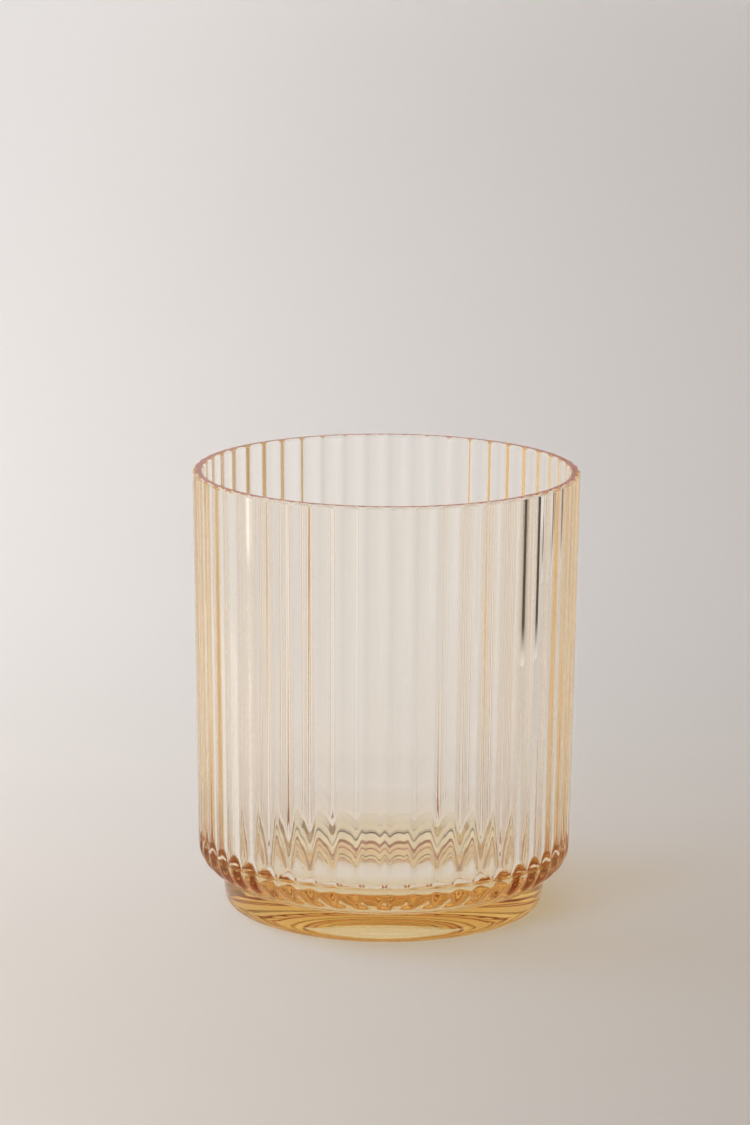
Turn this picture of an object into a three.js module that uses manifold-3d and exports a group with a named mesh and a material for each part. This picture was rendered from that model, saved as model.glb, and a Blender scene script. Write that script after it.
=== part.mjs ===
// Acrylic tumbler: a ribbed cup with a dished floor, bonded to a smooth round foot
// whose underside is domed. Millimetres, +Z up, the foot stands on z = 0.
import * as THREE from "three";
import { mergeVertices } from "three/addons/utils/BufferGeometryUtils.js";
import Module from "manifold-3d";

const wasm = await Module();
wasm.setup();

// Cup
const HEIGHT = 98; // table to rim
const RIM_RADIUS = 42.5; // over the rib crests at the rim
const BASE_RADIUS = 41.2; // over the rib crests above the lower corner, so the wall drafts
const WALL = 2.2; // rib crest to the smooth inside
const CORNER_RADIUS = 6.5; // round that rolls the ribs under the cup
const RIM_ROUND = 0.7; // outer edge of the rim
const LIP_ROUND = 0.6; // inner edge of the rim

// Ribs
const RIB_COUNT = 50;
const RIB_DEPTH = 0.75; // crest to valley
const RIB_SHARPNESS = 1.5; // above 1 the crests are broad and the valleys tight
const RIB_RUNOUT = 10; // degrees of the corner over which the ribs end

// Foot
const FOOT_INSET = 5.2; // how far the foot is set in from the cup's base radius
const FOOT_HEIGHT = 7.2; // table to the bonded seam
const FOOT_DRAFT = 0.7; // how far the foot's side leans in on its way down
const FOOT_EDGE_ROUND = 2.7;
const RESTING_RING = 1; // width of the flat ring that stands on the table
const DOME_DEPTH = 4.8; // hollow under the foot
const DOME_POWER = 2.4; // above 2 the dome is flatter at the middle than a parabola

// Neck and floor of the cup, stacked on the foot
const NECK_HEIGHT = 0.3; // smooth band above the seam
const SMOOTH_BAND = 1.9; // plain ring between the rib ends and the neck
const FLOOR_THICKNESS = 1.4; // over the foot, at the middle of the floor
const FLOOR_DISH = 3.4; // how much higher the floor is at its edge
const FLOOR_POWER = 2; // a parabola
const FLOOR_ROUND = 5; // between the floor and the wall

// Fineness of the round forms
const SEGMENTS_PER_RIB = 6;
const SMOOTH_SEGMENTS = 100;
const CORNER_STEPS = 5;
const EDGE_STEPS = 3;
const DISH_STEPS = 6;
const OVERCUT = 1; // the cavity's cutter stands proud of the rim

const footRadius = BASE_RADIUS - FOOT_INSET;

// Points on an arc in the (radius, height) plane, angles in degrees from +radius
function arc(centreRadius, centreHeight, radius, from, to, steps) {
  return Array.from({ length: steps + 1 }, (_, i) => {
    const angle = THREE.MathUtils.degToRad(from + ((to - from) * i) / steps);
    const r = centreRadius + radius * Math.cos(angle);
    const z = centreHeight + radius * Math.sin(angle);
    return new THREE.Vector2(r, z);
  });
}

// Points on a shallow dish from its rim to the axis, or the other way round for a dome
function dish(rimRadius, rimHeight, axisHeight, power, steps) {
  const depth = rimHeight - axisHeight;
  return Array.from({ length: steps + 1 }, (_, i) => {
    const share = 1 - i / steps;
    return new THREE.Vector2(rimRadius * share, axisHeight + depth * share ** power);
  });
}

// A turned solid about +Z from a profile that starts and ends on the axis
function turned(profile, segments) {
  return new THREE.LatheGeometry(profile, segments).rotateX(Math.PI / 2);
}

function toSolid(geometry) {
  geometry.deleteAttribute("normal");
  geometry.deleteAttribute("uv");
  const merged = mergeVertices(geometry);
  const vertProperties = new Float32Array(merged.attributes.position.array);
  const triVerts = new Uint32Array(merged.index.array);
  return new wasm.Manifold(new wasm.Mesh({ numProp: 3, vertProperties, triVerts }));
}

function toGeometry(solid) {
  const { vertProperties, triVerts } = solid.getMesh();
  const geometry = new THREE.BufferGeometry();
  geometry.setAttribute("position", new THREE.BufferAttribute(vertProperties, 3));
  geometry.setIndex(new THREE.BufferAttribute(triVerts, 1));
  geometry.computeVertexNormals();
  return geometry;
}

// Share of the rib depth that is taken off at an angle about the axis: 0 on a crest
function ribShare(angle) {
  return ((1 - Math.cos(RIB_COUNT * angle)) / 2) ** RIB_SHARPNESS;
}

// The cup's outside. Each row of the profile is cut back along its own slope by the ribs.
function ribbedBlock() {
  const neckTop = FOOT_HEIGHT + NECK_HEIGHT;
  const cornerCentre = BASE_RADIUS - CORNER_RADIUS;
  const ribEnd = Math.acos((footRadius + SMOOTH_BAND - cornerCentre) / CORNER_RADIUS);
  const ribEndHeight = neckTop + SMOOTH_BAND / Math.tan(ribEnd);
  const cornerHeight = ribEndHeight + CORNER_RADIUS * Math.sin(ribEnd);
  const rimHeight = HEIGHT - RIM_ROUND;

  const rows = [];
  const addRow = (point, tilt, share) => rows.push({ point, tilt, share });
  addRow(new THREE.Vector2(0, FOOT_HEIGHT), 0, 0);
  addRow(new THREE.Vector2(footRadius, FOOT_HEIGHT), 0, 0);
  addRow(new THREE.Vector2(footRadius, neckTop), 0, 0);
  const sweep = THREE.MathUtils.radToDeg(ribEnd);
  arc(cornerCentre, cornerHeight, CORNER_RADIUS, -sweep, 0, CORNER_STEPS).forEach((point, i) => {
    const turnedBy = (sweep * i) / CORNER_STEPS;
    addRow(point, THREE.MathUtils.degToRad(sweep - turnedBy), Math.min(1, turnedBy / RIB_RUNOUT));
  });
  arc(RIM_RADIUS - RIM_ROUND, rimHeight, RIM_ROUND, 0, 90, EDGE_STEPS).forEach((point, i) => {
    addRow(point, 0, 1 - i / EDGE_STEPS);
  });
  addRow(new THREE.Vector2(0, HEIGHT), 0, 0);

  const profile = rows.map((row) => row.point);
  const geometry = turned(profile, RIB_COUNT * SEGMENTS_PER_RIB);
  const position = geometry.attributes.position;
  for (let i = 0; i < position.count; i += 1) {
    const { tilt, share } = rows[i % rows.length];
    const angle = Math.atan2(position.getY(i), position.getX(i));
    const cut = RIB_DEPTH * share * ribShare(angle);
    position.setX(i, position.getX(i) - cut * Math.cos(tilt) * Math.cos(angle));
    position.setY(i, position.getY(i) - cut * Math.cos(tilt) * Math.sin(angle));
    position.setZ(i, position.getZ(i) + cut * Math.sin(tilt));
  }
  return geometry;
}

// The smooth inside: dished floor, rounded into a wall that follows the outer draft
function cavity() {
  const floorMiddle = FOOT_HEIGHT + FLOOR_THICKNESS;
  const floorEdge = floorMiddle + FLOOR_DISH;
  const lowRadius = BASE_RADIUS - WALL;
  const highRadius = RIM_RADIUS - WALL;
  const lip = arc(highRadius + LIP_ROUND, HEIGHT - LIP_ROUND, LIP_ROUND, 90, 180, EDGE_STEPS);
  const corner = arc(lowRadius - FLOOR_ROUND, floorEdge + FLOOR_ROUND, FLOOR_ROUND, 0, -90, EDGE_STEPS);
  const floor = dish(lowRadius - FLOOR_ROUND, floorEdge, floorMiddle, FLOOR_POWER, DISH_STEPS);
  const mouth = [new THREE.Vector2(0, HEIGHT + OVERCUT), new THREE.Vector2(lip[0].x, HEIGHT + OVERCUT)];
  const profile = [...mouth, ...lip, ...corner, ...floor.slice(1)];
  return turned(profile.reverse(), SMOOTH_SEGMENTS);
}

function footBlock() {
  const restingEdge = footRadius - FOOT_DRAFT - FOOT_EDGE_ROUND;
  const dome = dish(restingEdge - RESTING_RING, 0, DOME_DEPTH, DOME_POWER, DISH_STEPS).reverse();
  const edge = arc(restingEdge, FOOT_EDGE_ROUND, FOOT_EDGE_ROUND, -90, 0, EDGE_STEPS);
  const top = [new THREE.Vector2(footRadius, FOOT_HEIGHT), new THREE.Vector2(0, FOOT_HEIGHT)];
  return turned([...dome, ...edge, ...top], SMOOTH_SEGMENTS);
}

function acrylic() {
  return new THREE.MeshStandardMaterial({
    color: 0xd9b078,
    roughness: 0.05,
    metalness: 0,
    transparent: true,
    opacity: 0.35,
  });
}

const cup = toSolid(ribbedBlock()).subtract(toSolid(cavity()));
const flutedBody = new THREE.Mesh(toGeometry(cup), acrylic());
flutedBody.name = "fluted_body";

const foot = new THREE.Mesh(toGeometry(toSolid(footBlock())), acrylic());
foot.name = "foot";

const tumbler = new THREE.Group();
tumbler.add(flutedBody, foot);

export default tumbler;
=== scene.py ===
# Acrylic tumbler: a ribbed amber cup bonded to a smooth round foot, on a pale studio sweep.
import math

import bmesh
import bpy
from mathutils import Matrix, Vector


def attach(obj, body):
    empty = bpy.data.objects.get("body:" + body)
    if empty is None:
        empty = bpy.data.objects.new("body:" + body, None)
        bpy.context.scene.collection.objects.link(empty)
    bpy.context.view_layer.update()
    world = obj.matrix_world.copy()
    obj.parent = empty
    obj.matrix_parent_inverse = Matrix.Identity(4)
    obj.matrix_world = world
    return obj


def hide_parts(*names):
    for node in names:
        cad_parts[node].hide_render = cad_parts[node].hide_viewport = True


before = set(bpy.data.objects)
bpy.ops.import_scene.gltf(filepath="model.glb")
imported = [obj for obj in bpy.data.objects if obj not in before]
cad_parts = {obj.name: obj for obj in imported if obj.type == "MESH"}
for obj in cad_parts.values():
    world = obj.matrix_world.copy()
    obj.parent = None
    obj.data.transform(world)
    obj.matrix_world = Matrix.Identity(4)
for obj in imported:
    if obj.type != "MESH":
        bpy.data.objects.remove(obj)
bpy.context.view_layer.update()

# Cup, in millimetres, with the same sizes as the solids
MM = 0.001
HEIGHT = 98.0
RIM_RADIUS = 42.5  # over the rib crests
BASE_RADIUS = 41.2  # over the rib crests above the lower corner
WALL = 2.2
CORNER_RADIUS = 6.5
RIM_ROUND = 0.7
LIP_ROUND = 0.6

# Ribs
RIB_COUNT = 50
RIB_DEPTH = 0.75
RIB_SHARPNESS = 1.5  # above 1 the crests are broad and the valleys tight
RIB_RUNOUT = 10.0  # degrees of the corner over which the ribs end
RIB_RIM_START = 0.85  # share of the rim's round where the ribs start to run out

# Foot
FOOT_INSET = 5.2
FOOT_HEIGHT = 7.2
FOOT_DRAFT = 0.7
FOOT_EDGE_ROUND = 2.7
RESTING_RING = 1.0
DOME_DEPTH = 4.8
DOME_POWER = 2.4  # above 2 the dome is flatter at the middle than a parabola

# Neck and floor of the cup
NECK_HEIGHT = 0.3
SMOOTH_BAND = 1.9
FLOOR_THICKNESS = 1.4
FLOOR_DISH = 3.4
FLOOR_POWER = 2.0
FLOOR_ROUND = 5.0

# Bonded seam
SEAM_ROUND = 0.12
SEAM_FILM = 0.02  # thickness of the cement
SURFACE_NAME = "surface"  # 1 on outer faces, 0 at the bond, where the acrylic goes on

# Fineness of the meshes
SEGMENTS_PER_RIB = 16
FOOT_SEGMENTS = 240
CREASE_STEP = 0.06  # distance of the support loops from the edges of a flat
CREASE_LIMIT = 0.25  # of a flat's width
SHARP_ANGLE = math.radians(40)
TOUCHING = 1e-6
SEAM_STEPS = 4
CORNER_STEPS = 28
NECK_STEPS = 2
WALL_STEPS = 10
RIM_STEPS = 14
RIM_FLAT_STEPS = 1
LIP_STEPS = 6
INSIDE_STEPS = 8
FLOOR_ROUND_STEPS = 14
FLOOR_STEPS = 18
DOME_STEPS = 24
RING_STEPS = 2
EDGE_STEPS = 16
SIDE_STEPS = 3

# Acrylic
ACRYLIC_IOR = 1.49
CLEAR_COLOUR = (1.0, 1.0, 1.0, 1.0)  # of the surface, because the tint lies in the depth
CUP_TINT = (0.945, 0.655, 0.09, 1.0)
FOOT_TINT = (0.954, 0.79, 0.30, 1.0)
TINT_DENSITY = 42.0
LAMP_SHARE = (0.975, 0.975, 0.975, 1.0)  # of the lamps' light that each surface lets through
WEAR_SCALE = 90.0
WEAR_DETAIL = 4.0
WEAR_LOW = 0.4
WEAR_HIGH = 0.7
WEAR_ROUGHNESS = 0.02

# Paper sweep, in metres
TABLE_COLOUR = (0.72, 0.66, 0.605, 1.0)
BACKDROP_COLOUR = (0.80, 0.767, 0.745, 1.0)
BACKDROP_START = -0.12
BACKDROP_FULL = 0.25
PAPER_ROUGHNESS = 0.9
SWEEP_HALF_WIDTH = 1.6
SWEEP_FRONT = -1.6
SWEEP_BEND = 0.20
SWEEP_RADIUS = 0.15
SWEEP_TOP = 1.6
SWEEP_STEPS = 20

# Even pale colour of the paper: part of it through the acrylic, and all of it away from the tumbler
PALE_COLOUR = (0.785, 0.755, 0.745, 1.0)
PALE_THROUGH = 0.6
PALE_CENTRE = (0.06, 0.09, 0.05)
PALE_START = 0.27
PALE_FULL = 0.36

# Room: pale at the horizon and dark overhead, by the rise of the view
CEILING_COLOUR = (0.08, 0.05, 0.03, 1.0)
CEILING_START = 0.04
CEILING_FULL = 0.20
SKY_COLOUR = (0.90, 0.93, 1.0, 1.0)
SKY_STRENGTH = 0.03

# Lamps, with place, target, size in metres and power in watts
SOFTBOX = ((-0.38, 0.05, 0.18), (0.0, 0.05, 0.18), (0.90, 0.36), 0.70)
WINDOW = ((-0.40, -0.50, 0.25), (0.0, 0.35, 0.10), (0.30, 0.40), 2.75)
TOP_LIGHT = ((-0.50, 0.10, 0.60), (0.0, 0.15, 0.0), (0.40, 0.40), 3.05)

# Upright cards that show only in the acrylic, with two opposite corners and colour. They are painted
# reflections: the bright card glows as a painted highlight, and the black and shade cards paint dark
# streaks of shade.
BLACK_REFLECTION_CARD = ((0.26, -0.0165, 0.0), (0.26, 0.0670, 0.45), (0.04, 0.022, 0.012, 1.0))
SHADE_REFLECTION_CARD = ((0.312, 0.15, 0.0), (0.312, 0.34, 0.45), (0.20, 0.14, 0.09, 1.0))
GLOWING_HIGHLIGHT_CARD = ((-0.36, 0.0, 0.0), (-0.36, 0.05, 0.32), (1.4, 1.38, 1.35, 1.0))
CARD_FADE = 0.012  # height over which a card fades into the paper

# Camera, as measured from the photograph
CAMERA_DISTANCE = 1.0417
CAMERA_HEIGHT = 0.3021
CAMERA_PITCH = 0.2128
CAMERA_YAW = -0.0023
CAMERA_ROLL = 0.0067
CAMERA_TURN = math.radians(-0.3)
CAMERA_LENS = 155.02
SENSOR_HEIGHT = 36.0

# Light goes back and forth many times in the walls
ACRYLIC_BOUNCES = 128
CLEAR_BOUNCES = 16

foot_radius = BASE_RADIUS - FOOT_INSET
seam_height = FOOT_HEIGHT + SEAM_FILM


def arc(centre_r, centre_z, radius, start, end, steps):
    points = []
    for i in range(steps + 1):
        angle = math.radians(start + (end - start) * i / steps)
        points.append((centre_r + radius * math.cos(angle), centre_z + radius * math.sin(angle)))
    return points


def line(a, b, steps):
    """A straight run with a close support loop at each end."""
    near = min(CREASE_LIMIT, CREASE_STEP / math.dist(a, b))
    shares = [0.0, near]
    shares += [k / steps for k in range(1, steps)]
    shares += [1.0 - near, 1.0]
    return [(a[0] + (b[0] - a[0]) * t, a[1] + (b[1] - a[1]) * t) for t in shares]


def dish(rim_r, rim_z, axis_z, power, steps):
    """A shallow dish from its rim to the axis."""
    points = []
    for i in range(steps + 1):
        share = 1.0 - i / steps
        points.append((rim_r * share, axis_z + (rim_z - axis_z) * share**power))
    return points


def rib_share(angle):
    """Share of the rib depth that is taken off at an angle about the axis: 0 on a crest."""
    return ((1.0 - math.cos(RIB_COUNT * angle)) / 2.0) ** RIB_SHARPNESS


def smooth(t):
    t = min(1.0, max(0.0, t))
    return t * t * (3.0 - 2.0 * t)


class Profile:
    """Rows of a turned form: point, share of the ribs, and whether the band that follows is bonded."""

    def __init__(self):
        self.rows = []

    def add(self, points, shares=None, bonded=False):
        for i, point in enumerate(points):
            share = shares[i] if shares else 0.0
            if self.rows and math.dist(point, self.rows[-1][0]) < TOUCHING:
                self.rows[-1] = (self.rows[-1][0], max(share, self.rows[-1][1]), bonded)
                continue
            self.rows.append((point, share, bonded))

    def normal(self, i):
        before = self.rows[max(0, i - 1)][0]
        after = self.rows[min(len(self.rows) - 1, i + 1)][0]
        along = (after[0] - before[0], after[1] - before[1])
        length = math.hypot(*along)
        return along[1] / length, -along[0] / length

    def ring(self, bm, i, angles):
        """The vertices of one row, cut back along its normal by the ribs, or one vertex on the axis."""
        point, share, _ = self.rows[i]
        if point[0] < TOUCHING:
            return [bm.verts.new((0.0, 0.0, point[1] * MM))]
        out_r, out_z = self.normal(i)
        verts = []
        for angle in angles:
            cut = RIB_DEPTH * share * rib_share(angle) if share else 0.0
            r = (point[0] - cut * out_r) * MM
            z = (point[1] - cut * out_z) * MM
            verts.append(bm.verts.new((r * math.cos(angle), r * math.sin(angle), z)))
        return verts

    def to_object(self, name, segments, material):
        bm = bmesh.new()
        shown = bm.faces.layers.float.new(SURFACE_NAME)
        angles = [2.0 * math.pi * k / segments for k in range(segments)]
        rings = [self.ring(bm, i, angles) for i in range(len(self.rows))]
        for i in range(len(rings) - 1):
            low = rings[i]
            high = rings[i + 1]
            for k in range(segments):
                n = (k + 1) % segments
                if len(low) == 1:
                    corners = (low[0], high[n], high[k])
                elif len(high) == 1:
                    corners = (low[k], low[n], high[0])
                else:
                    corners = (low[k], low[n], high[n], high[k])
                face = bm.faces.new(corners)
                face.smooth = True
                face[shown] = 0.0 if self.rows[i][2] else 1.0
        bmesh.ops.recalc_face_normals(bm, faces=bm.faces)
        mesh = bpy.data.meshes.new(name)
        bm.to_mesh(mesh)
        bm.free()
        mesh.set_sharp_from_angle(angle=SHARP_ANGLE)
        mesh.materials.append(material)
        obj = bpy.data.objects.new(name, mesh)
        bpy.context.scene.collection.objects.link(obj)
        return obj


def cup_profile():
    """From the middle of the bond, up the ribbed outside, over the rim and down the smooth inside."""
    neck_top = FOOT_HEIGHT + NECK_HEIGHT
    seam_r = foot_radius - SEAM_ROUND
    corner_r = BASE_RADIUS - CORNER_RADIUS
    rib_end = math.acos((foot_radius + SMOOTH_BAND - corner_r) / CORNER_RADIUS)
    rib_end_z = neck_top + SMOOTH_BAND / math.tan(rib_end)
    corner_z = rib_end_z + CORNER_RADIUS * math.sin(rib_end)
    sweep = math.degrees(rib_end)
    rim_z = HEIGHT - RIM_ROUND
    floor_middle = FOOT_HEIGHT + FLOOR_THICKNESS
    floor_edge = floor_middle + FLOOR_DISH
    low_r = BASE_RADIUS - WALL
    high_r = RIM_RADIUS - WALL
    corner = arc(corner_r, corner_z, CORNER_RADIUS, -sweep, 0, CORNER_STEPS)
    corner_step = sweep / CORNER_STEPS / RIB_RUNOUT
    corner_shares = [smooth(corner_step * i) for i in range(CORNER_STEPS + 1)]
    wall = line((BASE_RADIUS, corner_z), (RIM_RADIUS, rim_z), WALL_STEPS)
    rim = arc(RIM_RADIUS - RIM_ROUND, rim_z, RIM_ROUND, 0, 90, RIM_STEPS)
    rim_shares = []
    for i in range(RIM_STEPS + 1):
        runout = (i / RIM_STEPS - RIB_RIM_START) / (1.0 - RIB_RIM_START)
        rim_shares.append(1.0 - smooth(runout))

    profile = Profile()
    profile.add(line((0.0, seam_height), (seam_r, seam_height), SEAM_STEPS), bonded=True)
    profile.add(arc(seam_r, seam_height + SEAM_ROUND, SEAM_ROUND, -90, 0, SEAM_STEPS))
    profile.add(line((foot_radius, neck_top), corner[0], NECK_STEPS))
    profile.add(corner, corner_shares)
    profile.add(wall, [1.0] * len(wall))
    profile.add(rim, rim_shares)
    profile.add(line((RIM_RADIUS - RIM_ROUND, HEIGHT), (high_r + LIP_ROUND, HEIGHT), RIM_FLAT_STEPS))
    profile.add(arc(high_r + LIP_ROUND, HEIGHT - LIP_ROUND, LIP_ROUND, 90, 180, LIP_STEPS))
    profile.add(line((high_r, HEIGHT - LIP_ROUND), (low_r, floor_edge + FLOOR_ROUND), INSIDE_STEPS))
    profile.add(arc(low_r - FLOOR_ROUND, floor_edge + FLOOR_ROUND, FLOOR_ROUND, 0, -90, FLOOR_ROUND_STEPS))
    profile.add(dish(low_r - FLOOR_ROUND, floor_edge, floor_middle, FLOOR_POWER, FLOOR_STEPS))
    return profile


def foot_profile():
    """From the middle of the dome, over the resting ring and up the side to the middle of the bond."""
    low_radius = foot_radius - FOOT_DRAFT
    resting_edge = low_radius - FOOT_EDGE_ROUND
    seam_r = foot_radius - SEAM_ROUND
    side_top = FOOT_HEIGHT - SEAM_ROUND
    dome = dish(resting_edge - RESTING_RING, 0.0, DOME_DEPTH, DOME_POWER, DOME_STEPS)
    dome.reverse()

    profile = Profile()
    profile.add(dome)
    profile.add(line(dome[-1], (resting_edge, 0.0), RING_STEPS))
    profile.add(arc(resting_edge, FOOT_EDGE_ROUND, FOOT_EDGE_ROUND, -90, 0, EDGE_STEPS))
    profile.add(line((low_radius, FOOT_EDGE_ROUND), (foot_radius, side_top), SIDE_STEPS))
    profile.add(arc(seam_r, side_top, SEAM_ROUND, 0, 90, SEAM_STEPS))
    profile.add(line((seam_r, FOOT_HEIGHT), (0.0, FOOT_HEIGHT), SEAM_STEPS), bonded=True)
    return profile


def new_tree(name):
    material = bpy.data.materials.new(name)
    material.use_nodes = True
    return material, material.node_tree


def combine(tree, operation, a, b):
    """A maths node on two inputs, each a socket or a number."""
    node = tree.nodes.new("ShaderNodeMath")
    node.operation = operation
    for source, socket in zip((a, b), node.inputs):
        if isinstance(source, float):
            socket.default_value = source
        else:
            tree.links.new(source, socket)
    return node.outputs[0]


def axis_of(tree, vector, axis):
    node = tree.nodes.new("ShaderNodeSeparateXYZ")
    tree.links.new(vector, node.inputs[0])
    return node.outputs[axis]


def soft_step(tree, value, low, high):
    """A factor that goes softly from 0 at the low value to 1 at the high one."""
    node = tree.nodes.new("ShaderNodeMapRange")
    node.interpolation_type = "SMOOTHSTEP"
    node.inputs["From Min"].default_value = low
    node.inputs["From Max"].default_value = high
    tree.links.new(value, node.inputs["Value"])
    return node.outputs[0]


def mix_colours(tree, factor, first, second):
    node = tree.nodes.new("ShaderNodeMix")
    node.data_type = "RGBA"
    node.inputs["A"].default_value = first
    node.inputs["B"].default_value = second
    tree.links.new(factor, node.inputs["Factor"])
    return node.outputs["Result"]


def mix_shaders(tree, factor, first, second):
    node = tree.nodes.new("ShaderNodeMixShader")
    tree.links.new(factor, node.inputs[0])
    tree.links.new(first, node.inputs[1])
    tree.links.new(second, node.inputs[2])
    return node.outputs[0]


def add_tint(tree, colour):
    tint = tree.nodes.new("ShaderNodeVolumeAbsorption")
    tint.inputs["Color"].default_value = colour
    tint.inputs["Density"].default_value = TINT_DENSITY
    tree.links.new(tint.outputs["Volume"], tree.nodes["Material Output"].inputs["Volume"])


def add_wear(tree, shader):
    """Faint dull patches in the polish."""
    place = tree.nodes.new("ShaderNodeTexCoord")
    noise = tree.nodes.new("ShaderNodeTexNoise")
    noise.inputs["Scale"].default_value = WEAR_SCALE
    noise.inputs["Detail"].default_value = WEAR_DETAIL
    tree.links.new(place.outputs["Object"], noise.inputs["Vector"])
    dull = tree.nodes.new("ShaderNodeMapRange")
    dull.inputs["From Min"].default_value = WEAR_LOW
    dull.inputs["From Max"].default_value = WEAR_HIGH
    dull.inputs["To Max"].default_value = WEAR_ROUGHNESS
    tree.links.new(noise.outputs["Fac"], dull.inputs["Value"])
    tree.links.new(dull.outputs[0], shader.inputs["Roughness"])


def let_lamps_through(tree, shader):
    """Light from the lamps and the paper passes the acrylic, so the floor under it isn't black."""
    path = tree.nodes.new("ShaderNodeLightPath").outputs
    onward = combine(tree, "MAXIMUM", path["Is Shadow Ray"], path["Is Diffuse Ray"])
    clear = tree.nodes.new("ShaderNodeBsdfTransparent")
    clear.inputs["Color"].default_value = LAMP_SHARE
    mixed = mix_shaders(tree, onward, shader.outputs[0], clear.outputs[0])
    tree.links.new(mixed, tree.nodes["Material Output"].inputs["Surface"])


def acrylic_material(name, tint):
    """Clear acrylic whose colour comes from its depth."""
    material, tree = new_tree(name)
    shader = tree.nodes["Principled BSDF"]
    shader.inputs["Base Color"].default_value = CLEAR_COLOUR
    shader.inputs["IOR"].default_value = ACRYLIC_IOR
    shader.inputs["Transmission Weight"].default_value = 1.0
    surface = tree.nodes.new("ShaderNodeAttribute")
    surface.attribute_name = SURFACE_NAME
    tree.links.new(surface.outputs["Fac"], shader.inputs["Alpha"])
    add_wear(tree, shader)
    let_lamps_through(tree, shader)
    add_tint(tree, tint)
    return material


def pale_share(tree, position, path):
    """How much of the even pale colour shows. The light that the paper gives stays as it is."""
    reach = tree.nodes.new("ShaderNodeVectorMath")
    reach.operation = "DISTANCE"
    tree.links.new(position, reach.inputs[0])
    reach.inputs[1].default_value = PALE_CENTRE
    far = soft_step(tree, reach.outputs["Value"], PALE_START, PALE_FULL)
    through = combine(tree, "MULTIPLY", path["Is Transmission Ray"], PALE_THROUGH)
    pale = combine(tree, "MAXIMUM", far, through)
    direct = combine(tree, "SUBTRACT", 1.0, path["Is Diffuse Ray"])
    return combine(tree, "MULTIPLY", pale, direct)


def paper_material():
    material, tree = new_tree("paper")
    shader = tree.nodes["Principled BSDF"]
    shader.inputs["Roughness"].default_value = PAPER_ROUGHNESS
    geometry = tree.nodes.new("ShaderNodeNewGeometry").outputs
    path = tree.nodes.new("ShaderNodeLightPath").outputs
    depth = axis_of(tree, geometry["Position"], "Y")
    shade = soft_step(tree, depth, BACKDROP_START, BACKDROP_FULL)
    colour = mix_colours(tree, shade, TABLE_COLOUR, BACKDROP_COLOUR)
    tree.links.new(colour, shader.inputs["Base Color"])
    glow = tree.nodes.new("ShaderNodeEmission")
    glow.inputs["Color"].default_value = PALE_COLOUR
    share = pale_share(tree, geometry["Position"], path)
    paper = mix_shaders(tree, share, shader.outputs[0], glow.outputs[0])
    behind = combine(tree, "MULTIPLY", geometry["Backfacing"], path["Is Camera Ray"])
    clear = tree.nodes.new("ShaderNodeBsdfTransparent")
    mixed = mix_shaders(tree, behind, paper, clear.outputs[0])
    tree.links.new(mixed, tree.nodes["Material Output"].inputs["Surface"])
    return material


def add_sweep():
    """A paper sweep: floor, curve and wall, open from behind."""
    points = [(SWEEP_FRONT, 0.0)]
    points += arc(SWEEP_BEND, SWEEP_RADIUS, SWEEP_RADIUS, -90, 0, SWEEP_STEPS)
    points.append((SWEEP_BEND + SWEEP_RADIUS, SWEEP_TOP))
    verts = []
    for y, z in points:
        verts.append((-SWEEP_HALF_WIDTH, y, z))
        verts.append((SWEEP_HALF_WIDTH, y, z))
    faces = [(2 * i, 2 * i + 1, 2 * i + 3, 2 * i + 2) for i in range(len(points) - 1)]
    mesh = bpy.data.meshes.new("sweep")
    mesh.from_pydata(verts, [], faces)
    mesh.polygons.foreach_set("use_smooth", [True] * len(mesh.polygons))
    mesh.materials.append(paper_material())
    sweep = bpy.data.objects.new("sweep", mesh)
    bpy.context.scene.collection.objects.link(sweep)


def add_softbox(name, place, target, size, power):
    """A soft lamp that lights but is not mirrored or seen through the acrylic."""
    data = bpy.data.lights.new(name, "AREA")
    data.shape = "RECTANGLE"
    data.size = size[0]
    data.size_y = size[1]
    data.energy = power
    lamp = bpy.data.objects.new(name, data)
    lamp.location = place
    lamp.rotation_mode = "QUATERNION"
    lamp.rotation_quaternion = (Vector(target) - Vector(place)).to_track_quat("-Z", "Y")
    lamp.visible_camera = False
    lamp.visible_glossy = False
    lamp.visible_transmission = False
    bpy.context.scene.collection.objects.link(lamp)


def reflection_card_material(name, colour):
    material, tree = new_tree(name)
    geometry = tree.nodes.new("ShaderNodeNewGeometry").outputs
    height = soft_step(tree, axis_of(tree, geometry["Position"], "Z"), 0.0, CARD_FADE)
    # Painted reflection: the card glows with its colour, fading up from the paper's pale colour at its
    # lower edge.
    glow = tree.nodes.new("ShaderNodeEmission")
    tree.links.new(mix_colours(tree, height, PALE_COLOUR, colour), glow.inputs["Color"])
    tree.links.new(glow.outputs[0], tree.nodes["Material Output"].inputs["Surface"])
    return material


def add_reflection_card(name, low, high, colour):
    """An upright card between two corners that only the tumbler shows: a painted reflection that lights
    nothing and casts no shadow.
    """
    corners = [low, (high[0], high[1], low[2]), high, (low[0], low[1], high[2])]
    mesh = bpy.data.meshes.new(name)
    mesh.from_pydata(corners, [], [(0, 1, 2, 3)])
    mesh.materials.append(reflection_card_material(name, colour))
    card = bpy.data.objects.new(name, mesh)
    card.visible_camera = False
    card.visible_diffuse = False
    card.visible_shadow = False
    bpy.context.scene.collection.objects.link(card)


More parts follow.
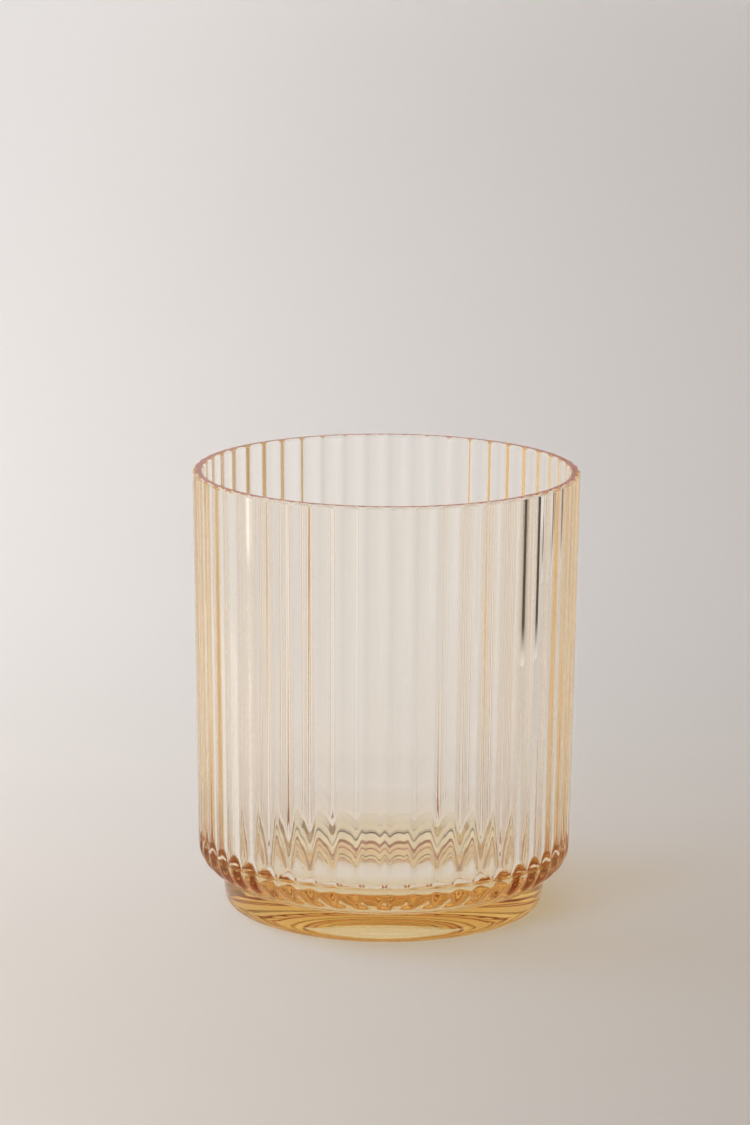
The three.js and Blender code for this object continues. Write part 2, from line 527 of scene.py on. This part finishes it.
def add_world():
    """Faint sky light, and the room that the camera and the acrylic see."""
    world = bpy.data.worlds.new("studio")
    bpy.context.scene.world = world
    world.use_nodes = True
    tree = world.node_tree
    light = tree.nodes["Background"]
    light.inputs["Color"].default_value = SKY_COLOUR
    light.inputs["Strength"].default_value = SKY_STRENGTH
    direction = tree.nodes.new("ShaderNodeTexCoord").outputs["Generated"]
    rise = soft_step(tree, axis_of(tree, direction, "Z"), CEILING_START, CEILING_FULL)
    room = tree.nodes.new("ShaderNodeBackground")
    tree.links.new(mix_colours(tree, rise, PALE_COLOUR, CEILING_COLOUR), room.inputs["Color"])
    path = tree.nodes.new("ShaderNodeLightPath").outputs
    seen = combine(tree, "MAXIMUM", path["Is Camera Ray"], path["Is Transmission Ray"])
    shown = combine(tree, "MAXIMUM", seen, path["Is Glossy Ray"])
    mixed = mix_shaders(tree, shown, light.outputs[0], room.outputs[0])
    tree.links.new(mixed, tree.nodes["World Output"].inputs["Surface"])


def add_camera():
    data = bpy.data.cameras.new("camera")
    data.sensor_fit = "VERTICAL"
    data.sensor_height = SENSOR_HEIGHT
    data.lens = CAMERA_LENS
    camera = bpy.data.objects.new("camera", data)
    bpy.context.scene.collection.objects.link(camera)
    bpy.context.scene.camera = camera
    level = math.cos(CAMERA_PITCH)
    side = math.sin(CAMERA_YAW)
    front = math.cos(CAMERA_YAW)
    ahead = Vector((side * level, front * level, -math.sin(CAMERA_PITCH)))
    right = Vector((front, -side, 0.0))
    up = right.cross(ahead)
    rolled_right = math.cos(CAMERA_ROLL) * right + math.sin(CAMERA_ROLL) * up
    rolled_up = math.cos(CAMERA_ROLL) * up - math.sin(CAMERA_ROLL) * right
    place = Matrix((rolled_right, rolled_up, -ahead)).transposed().to_4x4()
    place.translation = Vector((0.0, -CAMERA_DISTANCE, CAMERA_HEIGHT))
    camera.matrix_world = Matrix.Rotation(CAMERA_TURN, 4, "Z") @ place


# Tumbler
cup_acrylic = acrylic_material("amber_cup", CUP_TINT)
cup = cup_profile().to_object("ribbed_cup", RIB_COUNT * SEGMENTS_PER_RIB, cup_acrylic)
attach(cup, "root")
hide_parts("fluted_body")

foot_acrylic = acrylic_material("amber_foot", FOOT_TINT)
foot = foot_profile().to_object("round_foot", FOOT_SEGMENTS, foot_acrylic)
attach(foot, "root")
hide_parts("foot")

# Stage
add_sweep()
add_softbox("softbox", *SOFTBOX)
add_softbox("window", *WINDOW)
add_softbox("top_light", *TOP_LIGHT)
# Painted reflections: glowing cards, dark and bright, seen only in the acrylic
add_reflection_card("black_reflection_card", *BLACK_REFLECTION_CARD)
add_reflection_card("shade_reflection_card", *SHADE_REFLECTION_CARD)
add_reflection_card("glowing_highlight_card", *GLOWING_HIGHLIGHT_CARD)
add_world()
add_camera()

scene = bpy.context.scene
scene.view_settings.view_transform = "Standard"
scene.cycles.max_bounces = ACRYLIC_BOUNCES
scene.cycles.transmission_bounces = ACRYLIC_BOUNCES
scene.cycles.glossy_bounces = ACRYLIC_BOUNCES
scene.cycles.transparent_max_bounces = CLEAR_BOUNCES
scene.cycles.caustics_refractive = False
scene.cycles.caustics_reflective = False
